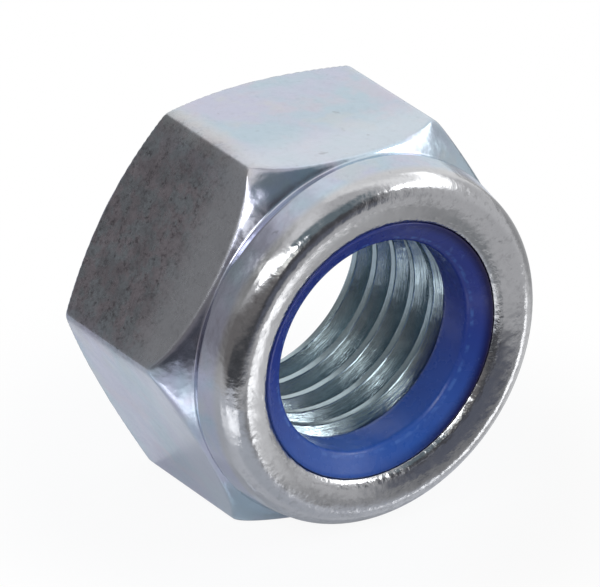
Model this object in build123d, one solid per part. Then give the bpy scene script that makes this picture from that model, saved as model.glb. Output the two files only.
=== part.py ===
"""Nylon insert lock nut, M16, across flats 24 mm, lying on one of its six flats.

Two pieces: a cold formed steel nut, whose round collar is crimped over the top, and the nylon ring
that the collar holds.  Both are made about the thread axis, with the bearing face at height 0 and the
collar upwards, and are then laid down together: +Z is up, the collar looks along -Y, and the origin is
on the floor under the middle of the nut.  Lengths are in millimetres and angles in degrees.
"""
import os
from math import cos, radians, sin, tan

from build123d import *

# Thread: ISO coarse, with a plain bore at the minor diameter
thread_diameter = 16.0
thread_pitch = 2.0
minor_per_pitch = 1.0825            # the minor diameter lies this many pitches below the thread's own
countersink_oversize = 2.4          # the bearing face's countersink is this much wider than the thread
countersink_angle = 90.0            # included angle
thread_exit_chamfer = 0.6           # at the far end of the thread, under the ring

# Hexagon
across_flats = 24.0
corner_rounding = 0.8               # of the six long edges
overall_height = 15.8
bearing_chamfer_margin = 0.6        # from the flats in to the round edge of the bearing face
bearing_chamfer_angle = 30.0        # from the bearing face
corner_height = 10.3                # where the six long edges end
facet_angle = 25.0                  # of the six corner facets at those ends, from the thread axis
envelope_margin = 1.0               # the turned outline passes this far outside the corners

# Collar and its crimped lip
collar_wall = 1.55                  # at the rim, outside the nylon ring
collar_taper = 10.4                 # from the thread axis
collar_foot_height = 12.9           # the collar is widest here
waist_drop = 0.6                    # of the groove under the collar, below the collar's widest place
waist_depth = 0.18                  # of the groove, in from the collar's widest place
rim_rounding = 1.4
lip_diameter = 17.1                 # the round opening that the lip leaves
lip_drop = 0.38                     # from the top of the rim down to the lip's edge
lip_thickness = 0.65
lip_edge_rounding = 0.2
lip_underside_drop = 0.45           # the lip's underside falls this far on its way out to the wall

# Nylon ring
insert_diameter = 20.2
insert_bore_diameter = 13.9
insert_seat_height = 11.8
insert_clearance = 0.02             # to the wall, and under the lip
insert_sink = 0.2                   # the nylon meets the lip this far below the lip's top edge
insert_dish = 0.75                  # the top falls this far from the lip to the bore
insert_lead_rounding = 0.35
insert_foot_chamfer = 0.3

# Worked out from the sizes above
flat_radius = across_flats / 2
corner_radius = flat_radius / cos(radians(30)) - corner_rounding * (1 / cos(radians(30)) - 1)
envelope_radius = corner_radius + envelope_margin
minor_radius = (thread_diameter - minor_per_pitch * thread_pitch) / 2
countersink_radius = (thread_diameter + countersink_oversize) / 2
countersink_depth = (countersink_radius - minor_radius) / tan(radians(countersink_angle / 2))
insert_radius = insert_diameter / 2
insert_bore_radius = insert_bore_diameter / 2
lip_radius = lip_diameter / 2
lip_edge_height = overall_height - lip_drop


def nut_section():
    """Half section of the nut as turned: countersink, hexagon chamfers, waist, collar, lip and seat."""
    bearing_radius = flat_radius - bearing_chamfer_margin
    bearing_chamfer_height = (envelope_radius - bearing_radius) * tan(radians(bearing_chamfer_angle))
    facet_start_height = corner_height - envelope_margin / tan(radians(facet_angle))

    # the rim is an arc that leaves the tapered collar without a break and ends at the top
    rim_centre = Vector(insert_radius + collar_wall - rim_rounding, overall_height - rim_rounding)
    rim_start = rim_centre + Vector(cos(radians(collar_taper)), sin(radians(collar_taper))) * rim_rounding
    rim_top = (rim_centre.X, overall_height)
    collar_foot_radius = rim_start.X + (rim_start.Y - collar_foot_height) * tan(radians(collar_taper))
    collar_foot = (collar_foot_radius, collar_foot_height)
    corner_end = (corner_radius, corner_height)
    waist = (collar_foot_radius - waist_depth, collar_foot_height - waist_drop)

    lip_top = (lip_radius, lip_edge_height)
    lip_bottom = (lip_radius, lip_edge_height - lip_thickness)
    outside = Polyline(
        (countersink_radius, 0),
        (bearing_radius, 0),
        (envelope_radius, bearing_chamfer_height),
        (envelope_radius, facet_start_height),
        corner_end,
    )
    facet = TangentArc(corner_end, waist, tangent=(-sin(radians(facet_angle)), cos(radians(facet_angle))))
    collar = Polyline(waist, collar_foot, (rim_start.X, rim_start.Y))
    rim = CenterArc((rim_centre.X, rim_centre.Y), rim_rounding, collar_taper, 90 - collar_taper)
    lip = TangentArc(rim_top, lip_top, tangent=(-1, 0))
    inside = Polyline(
        lip_top,
        lip_bottom,
        (insert_radius, lip_bottom[1] - lip_underside_drop),
        (insert_radius, insert_seat_height),
        (minor_radius + thread_exit_chamfer, insert_seat_height),
        (minor_radius, insert_seat_height - thread_exit_chamfer),
        (minor_radius, countersink_depth),
        (countersink_radius, 0),
    )
    upper = [facet.edge(), *collar.edges(), rim.edge(), lip.edge()]
    section = make_face([*outside.edges(), *upper, *inside.edges()])
    return fillet(section.vertices().sort_by_distance(lip_top)[0], lip_edge_rounding)


def nut_body():
    """Hexagon bar cut to the turned section, so that the corner facets run into the round collar."""
    hexagon = RegularPolygon(flat_radius, 6, major_radius=False)
    hexagon = fillet(hexagon.vertices(), corner_rounding)
    bar = extrude(hexagon, overall_height)
    return bar & revolve(Plane.XZ * nut_section(), Axis.Z)


def insert_section():
    """Half section of the nylon ring: its outside follows the seat, the wall and the lip's underside."""
    wall_radius = insert_radius - insert_clearance
    lip_reach = lip_radius - insert_clearance
    lip_bottom = lip_edge_height - lip_thickness - insert_clearance
    dish_edge = lip_edge_height - insert_sink
    bore_edge = (insert_bore_radius, dish_edge - insert_dish)
    outline = Polyline(
        (insert_bore_radius, insert_seat_height + insert_foot_chamfer),
        (insert_bore_radius + insert_foot_chamfer, insert_seat_height),
        (wall_radius, insert_seat_height),
        (wall_radius, lip_bottom - lip_underside_drop),
        (lip_reach, lip_bottom),
        (lip_reach, dish_edge),
        bore_edge,
        close=True,
    )
    section = make_face(outline)
    return fillet(section.vertices().sort_by_distance(bore_edge)[0], insert_lead_rounding)


def nylon_insert():
    """Moulded ring that the bolt cuts its own thread in."""
    return revolve(Plane.XZ * insert_section(), Axis.Z)


lie_on_flat = Pos(0, overall_height / 2, flat_radius) * Rot(90, 0, 0)

pieces = {
    "nut_body": nut_body(),
    "nylon_insert": nylon_insert(),
}

os.makedirs("parts", exist_ok=True)
for name, piece in pieces.items():
    laid = lie_on_flat * piece
    laid.label = name
    export_step(laid, f"parts/{name}.step")
    print(name, round(laid.volume, 1), "mm3", laid.bounding_box())
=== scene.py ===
import math

import bpy
from mathutils import Matrix, Vector


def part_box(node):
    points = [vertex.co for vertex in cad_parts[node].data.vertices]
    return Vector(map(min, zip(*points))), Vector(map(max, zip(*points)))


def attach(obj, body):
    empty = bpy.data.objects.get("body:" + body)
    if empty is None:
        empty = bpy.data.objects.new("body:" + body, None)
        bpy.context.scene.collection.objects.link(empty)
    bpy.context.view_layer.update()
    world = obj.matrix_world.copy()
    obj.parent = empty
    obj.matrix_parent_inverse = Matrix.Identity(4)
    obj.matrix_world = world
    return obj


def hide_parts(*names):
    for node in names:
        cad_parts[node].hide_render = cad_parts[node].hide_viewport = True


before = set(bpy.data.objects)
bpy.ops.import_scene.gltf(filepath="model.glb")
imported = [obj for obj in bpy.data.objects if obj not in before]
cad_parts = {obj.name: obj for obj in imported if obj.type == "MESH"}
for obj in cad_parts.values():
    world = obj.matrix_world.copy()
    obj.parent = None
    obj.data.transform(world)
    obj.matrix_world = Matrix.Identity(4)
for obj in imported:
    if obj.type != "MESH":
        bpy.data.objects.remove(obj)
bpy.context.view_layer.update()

# ----------------------------------------------------------------------------------------------
# Nut body: a hexagon nut with a round collar, cold formed from low carbon steel, tapped M16 and
# bright zinc plated.  The collar's top is rolled inwards over the nylon ring as a crimped lip.
# It lies on one flat, with the thread axis along Y and the collar towards -Y.
# ----------------------------------------------------------------------------------------------
body_low, body_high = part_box("nut_body")
ring_low, ring_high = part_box("nylon_insert")
half_length = body_high.y
overall_height = body_high.y - body_low.y
flat_radius = (body_high.z - body_low.z) / 2
corner_radius = body_high.x

thread_pitch = 0.002
thread_major = 0.008
thread_minor = thread_major - 0.54127 * thread_pitch
thread_edge = 0.00008               # rounding of the crests and roots
countersink_radius = 0.0092
thread_exit_radius = 0.00752        # of the countersink under the ring
seat_height = half_length - ring_high.y
first_crest = 0.00079               # height of a crest over the bearing face, in the +X half plane

bearing_radius = 0.0114
bearing_edge_rounding = 0.0003
bearing_chamfer = 30.0
corner_softening = 0.00074          # sum over which two neighbouring flats blend into a rounded edge
envelope_radius = corner_radius + 0.0012
corner_height = 0.0103
facet_angle = 25.0                  # at the corner's end, from the thread axis; the facet curves in
facet_edge = 0.00008                # rounding of a corner facet's edges where they start
facet_soft_edge = 0.00055           # and where they run out, at the next height
facet_soft_height = 0.0117

collar_wall = 0.00155
collar_taper = 10.4
collar_foot_height = 0.0129
collar_foot_rounding = 0.0005
waist_height = 0.0123
waist_depth = 0.00018
waist_fillet = 0.0002
rim_rounding = 0.0014
crest_start = 50.0                  # the rim's arc tightens here, from the horizontal
crest_rounding = 0.00125
lip_fall = 8.0                      # slope at which the lip leaves the crest
lip_edge_fall = 18.0                # and the one at which its edge starts to roll down
lip_edge_roll = 0.0009              # radius of that roll
lip_end_fall = 45.0                 # slope at the end of the roll
lip_radius = 0.00848
lip_drop = 0.00038
lip_thickness = 0.00065
lip_edge_rounding = 0.0002
lip_underside_drop = 0.00045
ring_clearance = 0.00002
wall_radius = ring_high.x + ring_clearance


def straight(start, end, steps):
    """Points along a straight run of a section, without its last end."""
    return [
        tuple(a + (b - a) * step / steps for a, b in zip(start, end))
        for step in range(steps)
    ]


def arc(centre, radius, start, end, steps):
    """Points along an arc of a section, both ends included; angles in degrees from the radius."""
    turns = [math.radians(start + (end - start) * step / steps) for step in range(steps + 1)]
    return [(centre[0] + radius * math.cos(t), centre[1] + radius * math.sin(t)) for t in turns]


def slope(angle):
    return math.tan(math.radians(angle))


def rounded(points, fillets):
    """A section's points with some corners rounded off: {index of the corner: radius}."""
    result = []
    for index, corner in enumerate(points):
        if index not in fillets:
            result.append(corner)
            continue
        corner = Vector(corner)
        into = corner - Vector(points[index - 1])
        out = Vector(points[index + 1]) - corner
        reach = fillets[index] * math.tan(abs(into.angle_signed(out)) / 2)
        while result and (corner - Vector(result[-1])).length < reach:
            result.pop()
        start = corner - into.normalized() * reach
        end = corner + out.normalized() * reach
        for step in range(6):
            share = step / 5
            blend = (1 - share) ** 2 * start + 2 * share * (1 - share) * corner + share ** 2 * end
            result.append(tuple(blend))
    return result


def body_section():
    """The turned half section, from the countersink's mouth round the outside to the ring's seat."""
    mouth_land = (countersink_radius + 0.0001, 0)
    face_end = (bearing_radius - 0.0002, 0)
    edge_centre = (bearing_radius - bearing_edge_rounding * slope(bearing_chamfer / 2),
                   bearing_edge_rounding)
    points = straight((countersink_radius, 0), mouth_land, 1)
    points += straight(mouth_land, face_end, 3)
    points += arc(edge_centre, bearing_edge_rounding, -90, bearing_chamfer - 90, 3)
    chamfer_foot = points[-1]
    chamfer_top = (envelope_radius, (envelope_radius - bearing_radius) * slope(bearing_chamfer))
    points += straight(chamfer_foot, chamfer_top, 20)[1:]

    crest_sine = math.sin(math.radians(crest_start))
    rim_centre = (wall_radius + collar_wall - rim_rounding,
                  overall_height - rim_rounding * crest_sine - crest_rounding * (1 - crest_sine))
    rim = arc(rim_centre, rim_rounding, collar_taper, crest_start, 12)
    crest_centre = (rim[-1][0] - crest_rounding * math.cos(math.radians(crest_start)),
                    overall_height - crest_rounding)
    rim += arc(crest_centre, crest_rounding, crest_start, 90 + lip_fall, 12)[1:]
    collar_foot = (rim[0][0] + (rim[0][1] - collar_foot_height) * slope(collar_taper),
                   collar_foot_height)
    corner_end = (corner_radius, corner_height)
    waist = (collar_foot[0] - waist_depth, waist_height)
    facet_foot = (envelope_radius,
                  corner_height - (envelope_radius - corner_radius) / slope(facet_angle))
    points += straight(chamfer_top, facet_foot, 4)
    points += straight(facet_foot, corner_end, 6)

    # the corner facet curves in to the waist, and small arcs round the waist and the collar's foot
    run, rise = corner_radius - waist[0], waist_height - corner_height
    chord_lean = math.degrees(math.atan2(run, rise))
    facet_radius = math.hypot(run, rise) / (2 * math.sin(math.radians(chord_lean - facet_angle)))
    facet_end = 2 * chord_lean - facet_angle
    facet_centre = (corner_radius - facet_radius * math.cos(math.radians(facet_angle)),
                    corner_height - facet_radius * math.sin(math.radians(facet_angle)))
    facet = arc(facet_centre, facet_radius, facet_angle, facet_end, 26)
    waist_index = len(facet) - 1
    points += rounded([*facet, collar_foot, *rim],
                      {waist_index: waist_fillet, waist_index + 1: collar_foot_rounding})

    # from the crest the lip falls on a wide arc, then its edge rolls down and ends in a rounding
    near, far, end = (math.radians(fall) for fall in (lip_fall, lip_edge_fall, lip_end_fall))
    roll_end = lip_radius + lip_edge_rounding * (1 - math.sin(end))
    roll_start = roll_end + lip_edge_roll * (math.sin(end) - math.sin(far))
    lip_bend = (rim[-1][0] - roll_start) / (math.sin(far) - math.sin(near))
    bends = ((lip_bend, near, far), (lip_edge_roll, far, end), (lip_edge_rounding, end, math.pi / 2))
    for radius, start, stop in bends:
        centre = (points[-1][0] + radius * math.sin(start), points[-1][1] - radius * math.cos(start))
        points += arc(centre, radius, 90 + math.degrees(start), 90 + math.degrees(stop), 8)[1:]

    lip_foot = (lip_radius, overall_height - lip_drop - lip_thickness)
    wall_top = (wall_radius, lip_foot[1] - lip_underside_drop)
    wall_foot = (wall_radius, seat_height)
    ledge_end = (thread_major + 0.0002, seat_height)
    points += straight(points[-1], lip_foot, 2)[1:]
    points += straight(lip_foot, wall_top, 2)
    points += straight(wall_top, wall_foot, 2)
    points += straight(wall_foot, ledge_end, 2)
    points.append(ledge_end)
    return points


def thread_rows():
    """Heights, in pitches from a crest's middle, at which one turn of the thread is sampled."""
    half_crest, half_root = 1 / 8, 1 / 2 - 1 / 16
    near, far = 0.03, 0.035
    rising = [0.0, half_crest - near, half_crest, half_crest + near,
              half_root - far, half_root, half_root + far * 0.8]
    return [-h for h in reversed(rising[1:])] + rising + [0.5]


def section_mesh(name, outline, row_heights=()):
    """A chain of points (radius, 0, height); the last ones are the thread's rows."""
    mesh = bpy.data.meshes.new(name)
    rows = [(r, 0, z) for r, z in outline] + [(0, 0, z) for z in row_heights]
    mesh.from_pydata(rows, [(i, i + 1) for i in range(len(rows) - 1)], [])
    on_thread = mesh.attributes.new("on_thread", "FLOAT", "POINT")
    on_thread.data.foreach_set("value", [0.0] * len(outline) + [1.0] * len(row_heights))
    return mesh


class Nodes:
    """A node tree under construction, with short calls for its nodes."""

    def __init__(self, tree):
        self.tree = tree

    def join(self, value, socket):
        """Links an output to a socket, or sets the socket to a plain value."""
        if isinstance(value, bpy.types.NodeSocket):
            self.tree.links.new(value, socket)
        else:
            socket.default_value = value

    def node(self, kind, inputs=None, **settings):
        """A node with its settings, and with its inputs by name or by number."""
        node = self.tree.nodes.new(kind)
        for key, value in settings.items():
            setattr(node, key, value)
        for key, value in (inputs or {}).items():
            self.join(value, node.inputs[key])
        return node

    def calc(self, operation, *terms):
        """A sum on numbers or on other nodes' outputs."""
        return self.node("ShaderNodeMath", dict(enumerate(terms)), operation=operation).outputs[0]

    def vector(self, operation, *terms, output="Vector"):
        node = self.node("ShaderNodeVectorMath", dict(enumerate(terms)), operation=operation)
        return node.outputs[output]

    def share(self, value, low, high, start=0.0, end=1.0):
        """Maps a value that runs from low to high to a share, with soft ends."""
        return self.node("ShaderNodeMapRange", {
            "Value": value, "From Min": low, "From Max": high, "To Min": start, "To Max": end,
        }, interpolation_type="SMOOTHSTEP").outputs["Result"]

    def mix(self, share, first, second):
        """Mixes two colours."""
        return self.node("ShaderNodeMix", {0: share, 6: first, 7: second}, data_type="RGBA").outputs[2]


class Form(Nodes):
    """A Geometry Nodes tree with named inputs, which turns a section into a piece's mesh."""

    def __init__(self, name, **sizes):
        super().__init__(bpy.data.node_groups.new(name, "GeometryNodeTree"))
        self.tree.is_modifier = True
        kinds = {int: "NodeSocketInt", float: "NodeSocketFloat",
                 bpy.types.Material: "NodeSocketMaterial"}
        ports = self.tree.interface
        ports.new_socket("Geometry", in_out="INPUT", socket_type="NodeSocketGeometry")
        ports.new_socket("Geometry", in_out="OUTPUT", socket_type="NodeSocketGeometry")
        labels = {key: key.replace("_", " ").capitalize() for key in sizes}
        self.settings = {}
        for key, value in sizes.items():
            port = ports.new_socket(labels[key], in_out="INPUT", socket_type=kinds[type(value)])
            self.settings[port.identifier] = value
        self.source = self.tree.nodes.new("NodeGroupInput")
        self.sizes = {key: self.source.outputs[label] for key, label in labels.items()}

    def __getitem__(self, key):
        return self.sizes[key]

    def finish(self, geometry):
        """Ends the tree with real geometry in the piece's material."""
        realized = self.node("GeometryNodeRealizeInstances", {"Geometry": geometry}).outputs[0]
        dressed = self.node("GeometryNodeSetMaterial", {
            "Geometry": realized, "Material": self["material"],
        })
        self.node("NodeGroupOutput", {0: dressed.outputs[0]})

    def make(self, name, mesh):
        """Runs the tree on a mesh and gives a plain object with the result."""
        piece = bpy.data.objects.new(name, mesh)
        bpy.context.scene.collection.objects.link(piece)
        modifier = piece.modifiers.new("form", "NODES")
        modifier.node_group = self.tree
        for identifier, value in self.settings.items():
            modifier[identifier] = value
        seen = piece.evaluated_get(bpy.context.evaluated_depsgraph_get())
        result = bpy.data.meshes.new_from_object(seen)
        piece.modifiers.clear()
        piece.data = result
        result.name = name
        return piece


def turned_form(name, threaded, **sizes):
    """Turns a section round the thread axis on a grid; a threaded one also gets hexagon and thread."""
    t = Form(name, **sizes)
    rows, columns = t["rows"], t["columns"]
    grid = t.node("GeometryNodeMeshGrid", {
        "Size X": 1.0, "Size Y": 1.0,
        "Vertices X": t.calc("ADD", columns, 1.0), "Vertices Y": rows,
    })
    index = t.node("GeometryNodeInputIndex").outputs[0]
    column = t.calc("FLOOR", t.calc("DIVIDE", t.calc("ADD", index, 0.5), rows))
    row = t.calc("SUBTRACT", index, t.calc("MULTIPLY", column, rows))
    even_turn = t.calc("MULTIPLY", t.calc("DIVIDE", column, columns), 2 * math.pi)
    # the columns crowd together at the six corners
    sway = t.calc("MULTIPLY", t.calc("SINE", t.calc("MULTIPLY", even_turn, 6.0)), t["crowding"])
    turn = t.calc("SUBTRACT", even_turn, sway)

    def sample(kind, value):
        """A value of the section's point that this row stands for."""
        return t.node("GeometryNodeSampleIndex", {
            "Geometry": t.source.outputs["Geometry"], "Value": value, "Index": row,
        }, data_type=kind, domain="POINT").outputs["Value"]

    position = t.node("GeometryNodeInputPosition").outputs[0]
    radius, _, height = t.node("ShaderNodeSeparateXYZ", {0: sample("FLOAT_VECTOR", position)}).outputs
    geometry = grid.outputs["Mesh"]

    if threaded:
        # hexagon: distance to the nearest flat and to its neighbour, blended over the corner
        sector = t.calc("FLOORED_MODULO", turn, math.pi / 3)
        off_flat = t.calc("ABSOLUTE", t.calc("SUBTRACT", sector, math.pi / 6))
        off_next = t.calc("SUBTRACT", math.pi / 3, off_flat)
        flat = t.calc("DIVIDE", t["flat_radius"], t.calc("COSINE", off_flat))
        beside = t.calc("DIVIDE", t["flat_radius"], t.calc("COSINE", off_next))
        hexagon = t.calc("SMOOTH_MIN", flat, beside, t["corner_softening"])
        # the edges of the corner facets get softer towards the collar
        softness = t.share(height, t["corner_height"], t["facet_soft_height"],
                           t["facet_edge"], t["facet_soft_edge"])
        pressed = t.calc("SMOOTH_MIN", radius, hexagon, softness)
        on_flat = t.node("ShaderNodeMapRange", {
            "Value": t.calc("SUBTRACT", radius, hexagon), "From Min": 0.0, "From Max": 0.0002,
        }).outputs["Result"]

        # thread: crest, flank and root as a clamped slope, wound up one pitch a turn
        wound = t.calc("DIVIDE", turn, 2 * math.pi)
        row_height = t.calc("ADD", height, t.calc("MULTIPLY", wound, t["pitch"]))
        row_height = t.calc("MINIMUM", t.calc("MAXIMUM", row_height, 0.0), t["seat_height"])
        turns_up = t.calc("DIVIDE", t.calc("SUBTRACT", row_height, t["first_crest"]), t["pitch"])
        phase = t.calc("FRACT", t.calc("ADD", t.calc("SUBTRACT", turns_up, wound), 10.5))
        from_crest = t.calc("ABSOLUTE", t.calc("SUBTRACT", phase, 0.5))
        steepness = t.calc("MULTIPLY", t["pitch"], math.sqrt(3))
        climb = t.calc("MULTIPLY", t.calc("SUBTRACT", from_crest, 0.125), steepness)
        flank = t.calc("ADD", t["minor_radius"], climb)
        edge = t["thread_edge"]
        rooted = t.calc("SMOOTH_MIN", flank, t["major_radius"], edge)
        groove = t.calc("SMOOTH_MAX", t["minor_radius"], rooted, edge)
        mouth = t.calc("SUBTRACT", t["countersink_radius"], row_height)
        under_seat = t.calc("SUBTRACT", t["seat_height"], row_height)
        exit_cone = t.calc("SUBTRACT", t["exit_radius"], under_seat)
        bore = t.calc("SMOOTH_MAX", t.calc("SMOOTH_MAX", groove, mouth, edge), exit_cone, edge)
        stored = t.node("GeometryNodeInputNamedAttribute", {"Name": "on_thread"}, data_type="FLOAT")
        on_thread = sample("FLOAT", stored.outputs[0])

        def choose(outside, inside):
            """One value for the section's own points and another for the thread's rows."""
            return t.node("GeometryNodeSwitch", {
                "Switch": t.calc("GREATER_THAN", on_thread, 0.5), "False": outside, "True": inside,
            }, input_type="FLOAT").outputs[0]

        radius, height = choose(pressed, bore), choose(height, row_height)
        for label, share in (("on_flat", choose(on_flat, 0.0)), ("on_thread", on_thread)):
            geometry = t.node("GeometryNodeStoreNamedAttribute", {
                "Geometry": geometry, "Name": label, "Value": share,
            }, data_type="FLOAT", domain="POINT").outputs["Geometry"]

    along = t.node("ShaderNodeCombineXYZ", {
        "X": t.calc("MULTIPLY", radius, t.calc("COSINE", turn)),
        "Y": t.calc("SUBTRACT", t["half_length"], height),
        "Z": t.calc("ADD", t["axis_height"], t.calc("MULTIPLY", radius, t.calc("SINE", turn))),
    })
    placed = t.node("GeometryNodeSetPosition", {"Geometry": geometry, "Position": along.outputs[0]})
    welded = t.node("GeometryNodeMergeByDistance", {
        "Geometry": placed.outputs[0], "Distance": 0.000001,
    })
    smooth = t.node("GeometryNodeSetShadeSmooth", {"Geometry": welded.outputs[0]})
    t.finish(smooth.outputs[0])
    return t


class Finish(Nodes):
    """A piece's material, with patterns that stay on the piece."""

    def __init__(self, name):
        self.material = bpy.data.materials.new(name)
        self.material.use_nodes = True
        super().__init__(self.material.node_tree)
        self.shader = self.tree.nodes["Principled BSDF"].inputs
        self.place = self.node("ShaderNodeTexCoord").outputs["Object"]
        self.x, y, self.z = self.node("ShaderNodeSeparateXYZ", {0: self.place}).outputs
        self.height = self.calc("SUBTRACT", half_length, y)         # over the bearing face
        self.off_axis = self.vector("SUBTRACT", self.place, (0, 0, flat_radius))
        across = self.vector("MULTIPLY", self.off_axis, (1, 0, 1))
        self.reach = self.vector("LENGTH", across, output="Value")  # from the thread axis

    def noise(self, scale, detail=2.0, roughness=0.5, shift=0.0, stretch=(1, 1, 1)):
        """Noise in the piece's own space; scale is in features a metre."""
        place = self.node("ShaderNodeMapping", {
            "Vector": self.place, "Location": (shift, shift, shift), "Scale": stretch,
        })
        return self.node("ShaderNodeTexNoise", {
            "Vector": place.outputs[0], "Scale": scale, "Detail": detail, "Roughness": roughness,
        }).outputs[0]

    def product(self, *terms):
        result = terms[0]
        for term in terms[1:]:
            result = self.calc("MULTIPLY", result, term)
        return result

    def attribute(self, name):
        return self.node("ShaderNodeAttribute", attribute_name=name).outputs["Fac"]

    def relief(self, depth, pattern, share=1.0, below=None):
        """Relief from a pattern round its middle level, to a depth in metres, over another relief."""
        height = self.calc("MULTIPLY", self.calc("SUBTRACT", pattern, 0.5), share)
        bump = self.node("ShaderNodeBump", {"Strength": 1.0, "Distance": depth, "Height": height})
        if below is not None:
            self.join(below, bump.inputs["Normal"])
        return bump.outputs[0]


zinc = Finish("zinc_plate")
zinc.join(1.0, zinc.shader["Metallic"])

# where on the nut: the rim, the thread and the flats are plated and worn differently
on_thread = zinc.attribute("on_thread")
on_flat = zinc.attribute("on_flat")
on_rim = zinc.share(zinc.height, 0.0139, 0.0146)

# the clear passivation shimmers from cyan to lilac in soft patches, with some blush and cream
cyan_film, lilac_film = (0.47, 0.575, 0.655, 1), (0.53, 0.545, 0.665, 1)
blush_film, cream_film = (0.58, 0.54, 0.62, 1), (0.56, 0.59, 0.60, 1)
film = zinc.mix(zinc.share(zinc.noise(170, 3.0, 0.55), 0.40, 0.60), cyan_film, lilac_film)
blush = zinc.noise(260, 3.0, 0.6, shift=3.0)
film = zinc.mix(zinc.share(blush, 0.52, 0.68, 0.0, 0.6), film, blush_film)
cream = zinc.noise(300, 3.0, 0.6, shift=7.0)
film = zinc.mix(zinc.share(cream, 0.56, 0.70, 0.0, 0.5), film, cream_film)

# it is rubbed along one edge of the top flat, and plain grey on the rim and in the thread
rubbed_film, rim_film = (0.60, 0.59, 0.585, 1), (0.55, 0.555, 0.57, 1)
thread_film = (0.41, 0.505, 0.55, 1)
rubbed = zinc.product(zinc.share(zinc.x, -0.0048, -0.0064), zinc.share(zinc.z, 0.0228, 0.0236),
                      zinc.share(cream, 0.38, 0.55, 0.35, 0.8))
film = zinc.mix(rubbed, film, rubbed_film)
film = zinc.mix(on_rim, film, rim_film)
film = zinc.mix(on_thread, film, thread_film)

# one flat is dull; its colour is painted shade, mottled in mauve and blue grey, and smoother again
# towards the collar
dull_shaded_side = zinc.product(zinc.share(zinc.x, -0.0055, -0.0085), zinc.share(zinc.z, 0.0105, 0.0135),
                         on_flat)
to_collar = zinc.share(zinc.height, 0.0066, 0.0102)
mauve_grey, blue_grey = (0.41, 0.375, 0.41, 1), (0.37, 0.40, 0.435, 1)
smooth_grey, bright_end = (0.52, 0.53, 0.57, 1), (0.64, 0.69, 0.75, 1)
grey_patches = zinc.share(zinc.noise(900, 4.0, 0.6, shift=13.0), 0.42, 0.60)
painted_shade_film = zinc.mix(to_collar, zinc.mix(grey_patches, mauve_grey, blue_grey), smooth_grey)
film = zinc.mix(zinc.product(on_flat, to_collar, 0.6), film, bright_end)
film = zinc.mix(dull_shaded_side, film, painted_shade_film)

# dark specks lie thin elsewhere and thick on the dull side, where they and its dark clouds are painted
# shade; there are a few stains too
speck_dark = (0.085, 0.075, 0.085, 1)
shade_cloud_grey, stain_grey = (0.20, 0.19, 0.21, 1), (0.22, 0.21, 0.22, 1)
speck_patches = zinc.share(zinc.noise(1300, 3.0, 0.6, shift=15.0), 0.35, 0.65, 0.35, 1.0)
mottle = zinc.share(zinc.noise(3600, 6.0, 0.7, shift=21.0), 0.46, 0.64)
fine_specks = zinc.share(zinc.noise(9500, 6.0, 0.75, shift=1.0), 0.44, 0.66)
specks = zinc.calc("MAXIMUM", mottle, zinc.product(fine_specks, 0.8))
speck_and_shade_share = zinc.product(dull_shaded_side, zinc.calc("MULTIPLY_ADD", to_collar, -0.6, 0.75))
specks = zinc.product(specks, speck_patches, zinc.calc("ADD", speck_and_shade_share, 0.08))
film = zinc.mix(specks, film, speck_dark)
shade_clouds = zinc.share(zinc.noise(420, 5.0, 0.7, shift=23.0), 0.40, 0.62, 0.0, 0.42)
film = zinc.mix(zinc.product(shade_clouds, dull_shaded_side, zinc.calc("SUBTRACT", 1.0, to_collar)), film, shade_cloud_grey)
stains = zinc.share(zinc.noise(1100, 4.0, 0.65, shift=5.0), 0.66, 0.76, 0.0, 0.35)
film = zinc.mix(zinc.product(stains, zinc.calc("SUBTRACT", 1.0, on_thread)), film, stain_grey)

# the rolled crest of the rim and the lip's edge are pitted by the crimping tool
pit_grey = (0.13, 0.135, 0.14, 1)
lip_edge = zinc.share(zinc.reach, 0.0091, 0.0089)
pitted_crest = zinc.product(zinc.share(zinc.reach, 0.0118, 0.0112),
                            zinc.share(zinc.reach, 0.0094, 0.0099))
pitted = zinc.product(zinc.calc("MAXIMUM", pitted_crest, zinc.product(lip_edge, 0.8)), on_rim)
pits = zinc.share(zinc.noise(1700, 6.0, 0.7, shift=17.0), 0.52, 0.64)
film = zinc.mix(zinc.product(pits, pitted, 0.22), film, pit_grey)
zinc.join(film, zinc.shader["Base Color"])

# satin lustre in cloudy patches, rougher on the thread and the dull side
plate_lustre = zinc.share(zinc.noise(700, 4.0, 0.6, shift=9.0), 0.35, 0.7, 0.13, 0.22)
rim_lustre = zinc.share(zinc.noise(1800, 4.0, 0.65, shift=11.0), 0.4, 0.65, -0.06, 0.02)
lustre = zinc.calc("ADD", plate_lustre, zinc.product(rim_lustre, on_rim))
lustre = zinc.calc("ADD", lustre, zinc.product(on_thread, 0.05))
lustre = zinc.calc("ADD", lustre, zinc.product(dull_shaded_side, 0.1))
zinc.join(lustre, zinc.shader["Roughness"])

# the tap's fine scratches run along the thread: noise wound round the axis
axis_x, axis_y, axis_z = zinc.node("ShaderNodeSeparateXYZ", {0: zinc.off_axis}).outputs
wound_place = zinc.node("ShaderNodeCombineXYZ", {
    "X": zinc.calc("ARCTAN2", axis_z, axis_x),
    "Y": zinc.product(axis_y, 2000.0),
    "Z": zinc.product(zinc.reach, 2000.0),
}).outputs[0]
scratches = zinc.node("ShaderNodeTexNoise", {
    "Vector": wound_place, "Scale": 2.2, "Detail": 4.0, "Roughness": 0.7,
}).outputs[0]

# slight waves of the formed steel, the tool's dents, the scratches, and the fine grain of the plate
waves = zinc.relief(0.00004, zinc.noise(750, shift=4.0),
                    zinc.calc("MULTIPLY_ADD", dull_shaded_side, -0.5, 1.0))
dents = zinc.relief(0.000025, zinc.noise(1800, 4.0, 0.55, shift=19.0),
                    zinc.product(pitted, zinc.calc("MULTIPLY_ADD", lip_edge, 2.5, 1.0)), waves)
tapped = zinc.relief(0.00004, scratches, on_thread, dents)
grain = zinc.relief(0.000011, zinc.noise(4300, 4.0, 0.6, shift=2.0),
                    zinc.calc("MAXIMUM", on_flat, 0.25), tapped)
zinc.join(grain, zinc.shader["Normal"])

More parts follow.
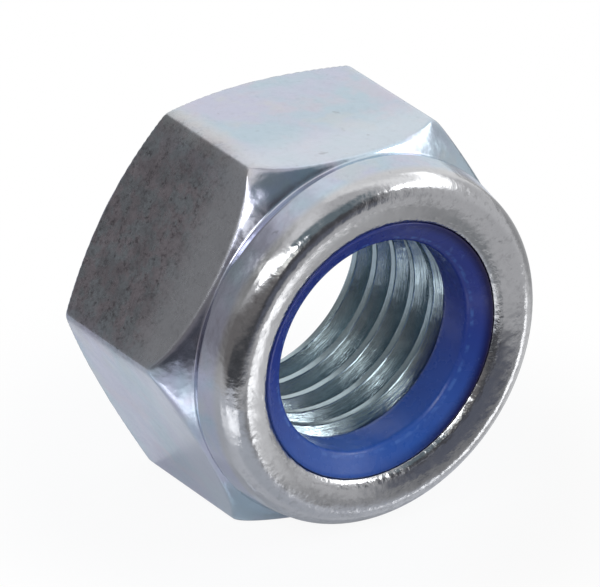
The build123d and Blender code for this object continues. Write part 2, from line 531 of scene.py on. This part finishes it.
thread_turns = range(-2, math.ceil(seat_height / thread_pitch) + 2)
row_heights = sorted(
    {first_crest + (turn + row) * thread_pitch for turn in thread_turns for row in thread_rows()},
    reverse=True,
)
row_heights = [h for h in row_heights if -1.3 * thread_pitch <= h <= seat_height + 0.3 * thread_pitch]
outline = body_section()
body_form = turned_form(
    "nut_body_form", True, rows=len(outline) + len(row_heights), columns=432, crowding=0.45 / 6,
    half_length=half_length, axis_height=flat_radius, flat_radius=flat_radius,
    corner_softening=corner_softening, corner_height=corner_height, facet_soft_height=facet_soft_height,
    facet_edge=facet_edge, facet_soft_edge=facet_soft_edge, pitch=thread_pitch, first_crest=first_crest,
    seat_height=seat_height, minor_radius=thread_minor, major_radius=thread_major,
    countersink_radius=countersink_radius, exit_radius=thread_exit_radius, thread_edge=thread_edge,
    material=zinc.material,
)
nut_body = body_form.make("nut_body_plated", section_mesh("nut_body_section", outline, row_heights))
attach(nut_body, "root")
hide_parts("nut_body")

# ----------------------------------------------------------------------------------------------
# Nylon ring: moulded from blue nylon, pressed onto the ledge over the thread and trapped under
# the lip.  Its top dishes down from the lip to a rounded lead-in, and the bolt cuts its own way.
# ----------------------------------------------------------------------------------------------
ring_outer = ring_high.x
ring_bore = 0.00695
ring_foot_chamfer = 0.0003
ring_lead_rounding = 0.00035
ring_sink = 0.0002
ring_dish = 0.00075
ring_shoulder = 0.00014             # rounding of the top beside the lip


def ring_section():
    """The ring's half section, from its bore round the foot, the outside and the top."""
    underside = overall_height - lip_drop - lip_thickness - ring_clearance
    lip_reach = lip_radius - ring_clearance
    dish_edge = overall_height - lip_drop - ring_sink
    corners = [
        (ring_bore, seat_height + ring_foot_chamfer),
        (ring_bore + ring_foot_chamfer, seat_height),
        (ring_outer, seat_height),
        (ring_outer, underside - lip_underside_drop),
        (lip_reach, underside),
    ]
    shoulder_centre = (lip_reach - ring_shoulder, dish_edge - ring_shoulder * 0.7)
    shoulder = arc(shoulder_centre, ring_shoulder, 0, 75, 8)
    points = []
    for start, end, steps in zip(corners, [*corners[1:], shoulder[0]], (1, 2, 2, 2, 2)):
        points += straight(start, end, steps)
    points += shoulder[:-1]
    lean = math.degrees(math.atan2(ring_dish, lip_reach - ring_bore))
    tangent = ring_lead_rounding * math.tan(math.radians((90 - lean) / 2))
    lead_centre = (ring_bore + ring_lead_rounding, dish_edge - ring_dish - tangent)
    lead = arc(lead_centre, ring_lead_rounding, 90 + lean, 180, 8)
    points += straight(shoulder[-1], lead[0], 6)
    points += lead
    points += straight(lead[-1], points[0], 8)[1:]
    points.append(points[0])
    return points


# the blue is paler where light comes through low down, and darker in faint patches
nylon = Finish("blue_nylon")
deep_blue, clear_blue = (0.033, 0.056, 0.31, 1), (0.032, 0.105, 0.42, 1)
patch_blue = (0.035, 0.045, 0.22, 1)
blue = nylon.mix(nylon.share(nylon.z, 0.014, 0.004), deep_blue, clear_blue)
blue = nylon.mix(nylon.share(nylon.noise(450), 0.4, 0.65, 0.0, 0.1), blue, patch_blue)

# painted shade makes it darkest in the crevice beside the lip, on the right, and it has a few scuffs
crevice_shade_blue, scuff_blue = (0.007, 0.003, 0.05, 1), (0.12, 0.2, 0.5, 1)
painted_crevice_shade = nylon.product(nylon.share(nylon.reach, 0.0077, 0.0084, 0.0, 0.97),
                        nylon.share(nylon.x, -0.002, 0.007, 0.05, 1.0))
blue = nylon.mix(painted_crevice_shade, blue, crevice_shade_blue)
scuffs = nylon.share(nylon.noise(1500, 5.0, stretch=(1.6, 0.5, 0.7)), 0.66, 0.74, 0.0, 0.35)
blue = nylon.mix(scuffs, blue, scuff_blue)

# a painted highlight runs along the rounded lead-in in a broken line
highlight_blue = (0.09, 0.2, 0.55, 1)
painted_lead_highlight = nylon.product(nylon.share(nylon.reach, 0.00738, 0.00728),
                          nylon.share(nylon.reach, 0.00712, 0.0072),
                          nylon.share(nylon.noise(1800, 5.0), 0.42, 0.62, 0.0, 0.6))
blue = nylon.mix(painted_lead_highlight, blue, highlight_blue)
nylon.join(blue, nylon.shader["Base Color"])
nylon.join(nylon.share(nylon.noise(900, 4.0), 0.35, 0.7, 0.2, 0.36), nylon.shader["Roughness"])
nylon.join(0.35, nylon.shader["Specular IOR Level"])
nylon.join(nylon.relief(0.00002, nylon.noise(1400, 4.0)), nylon.shader["Normal"])

ring_outline = ring_section()
ring_form = turned_form("nylon_ring_form", False, rows=len(ring_outline), columns=288, crowding=0.0,
                        half_length=half_length, axis_height=flat_radius, material=nylon.material)
nylon_ring = ring_form.make("nylon_ring", section_mesh("nylon_ring_section", ring_outline))
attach(nylon_ring, "root")
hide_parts("nylon_insert")

# ----------------------------------------------------------------------------------------------
# Floor: a plain white table, which ends a little way in front of the nut.  The eye sees it nearly
# white with a faint shadow, and the plating mirrors it a little darker.
# ----------------------------------------------------------------------------------------------
table_left, table_right = -0.036, 2.0
table_front, table_back = -0.026, 2.5
floor_mesh = bpy.data.meshes.new("floor")
floor_mesh.from_pydata([
    (table_left, table_front, 0), (table_right, table_front, 0),
    (table_right, table_back, 0), (table_left, table_back, 0),
], [], [(0, 1, 2, 3)])
floor = bpy.data.objects.new("floor", floor_mesh)
bpy.context.scene.collection.objects.link(floor)
white = bpy.data.materials.new("floor_white")
white.use_nodes = True
white.node_tree.nodes.clear()
table = Nodes(white.node_tree)
table_ray = table.node("ShaderNodeLightPath").outputs
table_place = table.node("ShaderNodeTexCoord").outputs["Object"]

# the shadow fades out around the nut, and painted shade makes the table's colour and its mirrored glow
# dimmer in front, on the right
away = table.share(table.vector("LENGTH", table_place, output="Value"), 0.014, 0.03, 0.93, 1.0)
table_x, table_y, _ = table.node("ShaderNodeSeparateXYZ", {0: table_place}).outputs
lit = table.share(table.calc("SUBTRACT", table_y, table_x), -0.024, -0.010)
seen_plain = table.calc("MAXIMUM", table_ray["Is Camera Ray"], table_ray["Is Transmission Ray"])
mirrored = table.calc("MULTIPLY", table_ray["Is Glossy Ray"],
                      table.calc("MULTIPLY_ADD", lit, 0.17, 0.06))
own_light = table.calc("MAXIMUM", table.calc("MULTIPLY", seen_plain, away), mirrored)
table_matt = table.node("ShaderNodeBsdfDiffuse", {
    "Color": table.mix(lit, (0.27, 0.27, 0.275, 1), (0.54, 0.58, 0.67, 1)),
})
table_gloss = table.node("ShaderNodeBsdfGlossy", {"Color": (1, 1, 1, 1), "Roughness": 0.12})
table_surface = table.node("ShaderNodeMixShader", {
    0: table.calc("MULTIPLY", table_ray["Is Glossy Ray"], 0.25),
    1: table_matt.outputs[0], 2: table_gloss.outputs[0],
})
table_glow = table.node("ShaderNodeEmission", {"Color": (1, 1, 1, 1), "Strength": 1.0})
table_top = table.node("ShaderNodeMixShader", {
    0: own_light, 1: table_surface.outputs[0], 2: table_glow.outputs[0],
})
table.node("ShaderNodeOutputMaterial", {"Surface": table_top.outputs[0]})
floor_mesh.materials.append(white)

# ----------------------------------------------------------------------------------------------
# Studio light: a soft grey room with a broad window of light on the left, another on the right, a
# pale backdrop behind, and an unlit side where the camera stands.  The backdrop itself is white.
# ----------------------------------------------------------------------------------------------
world = bpy.data.worlds.new("studio")
bpy.context.scene.world = world
world.use_nodes = True
world.node_tree.nodes.clear()
sky = Nodes(world.node_tree)
sky_direction = sky.node("ShaderNodeTexCoord").outputs["Generated"]


def facing(azimuth, elevation, roll=0.0):
    """Axes across, up and ahead; angles in degrees, azimuth 0 is +Y and 90 is +X."""
    a, e, turn = (math.radians(angle) for angle in (azimuth, elevation, roll))
    ahead = Vector((math.sin(a) * math.cos(e), math.cos(a) * math.cos(e), math.sin(e)))
    side = Vector((math.cos(a), -math.sin(a), 0))
    rise = side.cross(ahead)
    across = side * math.cos(turn) + rise * math.sin(turn)
    up = rise * math.cos(turn) - side * math.sin(turn)
    return across, up, ahead


def panel(room, light, azimuth, elevation, half_width, half_height, softness, roll=0.0):
    """The room with a soft-edged rectangle of light, or of shade, in one direction."""
    across, up, ahead = facing(azimuth, elevation, roll)
    forward = sky.vector("DOT_PRODUCT", sky_direction, ahead, output="Value")
    shares = []
    for axis, half in ((across, half_width), (up, half_height)):
        sideways = sky.vector("DOT_PRODUCT", sky_direction, axis, output="Value")
        angle = sky.calc("ABSOLUTE", sky.calc("ARCTAN2", sideways, forward))
        shares.append(sky.share(angle, math.radians(half + softness), math.radians(half - softness)))
    return sky.mix(sky.calc("MULTIPLY", *shares), room, (*light, 1))


room = (0.62, 0.62, 0.63, 1)
room = panel(room, (0.95, 0.95, 0.96), -85, 72, 40, 12, 10)             # ceiling on the left
room = panel(room, (1.25, 1.25, 1.25), 60, 58, 60, 15, 8)               # ceiling behind the nut
room = panel(room, (0.29, 0.29, 0.29), -27, 15, 36, 38, 13)             # grey wall behind, left
room = panel(room, (1.0, 1.0, 1.0), 40, 22, 30, 42, 12)                 # white backdrop
room = panel(room, (0.72, 0.72, 0.73), 100, -4, 34, 14, 8)              # wall under the right window
room = panel(room, (0.21, 0.20, 0.20), -125, 2, 64, 26, 7)              # unlit side, round the eye
room = panel(room, (0.08, 0.083, 0.092), -145, -14, 45, 13, 9)          # darkest below the eye
room = panel(room, (0.09, 0.09, 0.1), 170, 8, 20, 30, 7)                # unlit side, right of the eye
room = panel(room, (0.15, 0.16, 0.20), 165, -9, 15, 11, 6)              # and a little paler low down
room = panel(room, (0.19, 0.24, 0.27), -172, 47, 26, 19, 8)             # unlit ceiling, right of the eye
room = panel(room, (2.5, 2.5, 2.5), 100, 30, 32, 8, 5, roll=-16)        # window on the right
room = panel(room, (8, 8, 8), 128, 31, 9, 6, 3, roll=-16)               # its bright end
room = panel(room, (1.8, 1.8, 1.7), -160, 26, 15, 3, 3, roll=38)        # strip light beside the eye
room = panel(room, (3.0, 3.0, 2.95), -107, 45, 33, 6, 4)                # window on the left
room = panel(room, (9, 9, 9), -130, 40, 24, 3, 3)                       # its bright lower edge
room_light = sky.node("ShaderNodeBackground", {"Color": room})
backdrop = sky.node("ShaderNodeBackground", {"Color": (1, 1, 1, 1)})
sky_ray = sky.node("ShaderNodeLightPath").outputs
studio = sky.node("ShaderNodeMixShader", {
    0: sky.calc("MAXIMUM", sky_ray["Is Camera Ray"], sky_ray["Is Transmission Ray"]),
    1: room_light.outputs[0], 2: backdrop.outputs[0],
})
sky.node("ShaderNodeOutputWorld", {"Surface": studio.outputs[0]})

# ----------------------------------------------------------------------------------------------
# Camera: a long lens, to the left of the collar's axis and above it, turned a little on its own
# axis, and aimed at the middle of the nut.
# ----------------------------------------------------------------------------------------------
camera_left, camera_above, camera_roll = 36.246, 26.245, 2.546
camera_distance = 0.60786
camera_aim = Vector((-0.000925, 0, 0.013022))
camera_across, camera_up, camera_ahead = facing(camera_left, -camera_above, camera_roll)
camera_data = bpy.data.cameras.new("camera")
camera_data.sensor_width = 36.0
camera_data.lens = 596.6
camera = bpy.data.objects.new("camera", camera_data)
bpy.context.scene.collection.objects.link(camera)
camera.matrix_world = Matrix((camera_across, camera_up, -camera_ahead)).transposed().to_4x4()
camera.matrix_world.translation = camera_aim - camera_ahead * camera_distance
bpy.context.scene.camera = camera
bpy.context.scene.view_settings.view_transform = "Standard"
